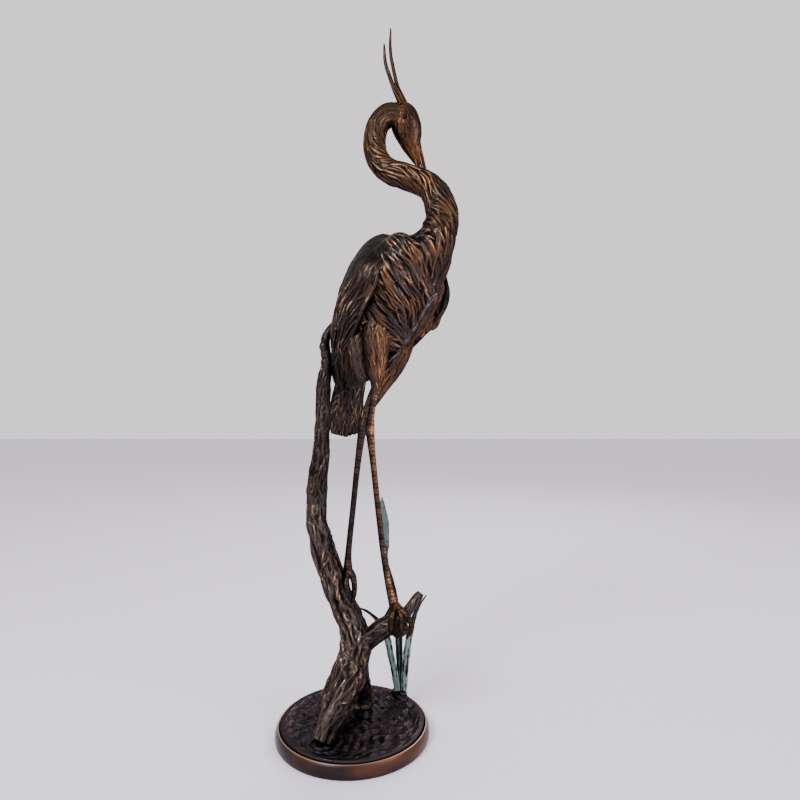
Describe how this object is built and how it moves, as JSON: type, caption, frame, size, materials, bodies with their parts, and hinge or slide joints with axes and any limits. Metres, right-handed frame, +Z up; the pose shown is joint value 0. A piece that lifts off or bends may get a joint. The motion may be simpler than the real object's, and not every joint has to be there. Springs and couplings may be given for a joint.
{
  "type": "crane statue fountain",
  "caption": "Cast bronze crane preening its neck, standing on a forked tree trunk with reed leaves, on a round plinth with a rippled pool.",
  "frame": {"origin": "centre of the plinth's flat underside, on the ground", "axes": "+Z up, +X to the viewer's right and +Y away from the viewer, as the statue is seen from the front"},
  "size_m": [0.3596, 0.3132, 1.421],
  "materials": {
    "plinth_bronze": "smooth reddish-brown patina",
    "pool_bronze": "near-black patina with rubbed ripples",
    "bark_bronze": "dark brown patina, grey-brown on the bark ridges",
    "feather_bronze": "brown-black patina rubbed to copper on the feather ridges",
    "verdigris": "matte pale green verdigris"
  },
  "bodies": {
    "root": {"plinth": "plinth_bronze", "pool": "pool_bronze", "trunk": "bark_bronze", "crane": "feather_bronze", "reed_left": "verdigris", "reed_right": "verdigris", "reed_tall": "verdigris"}
  },
  "joints": []
}
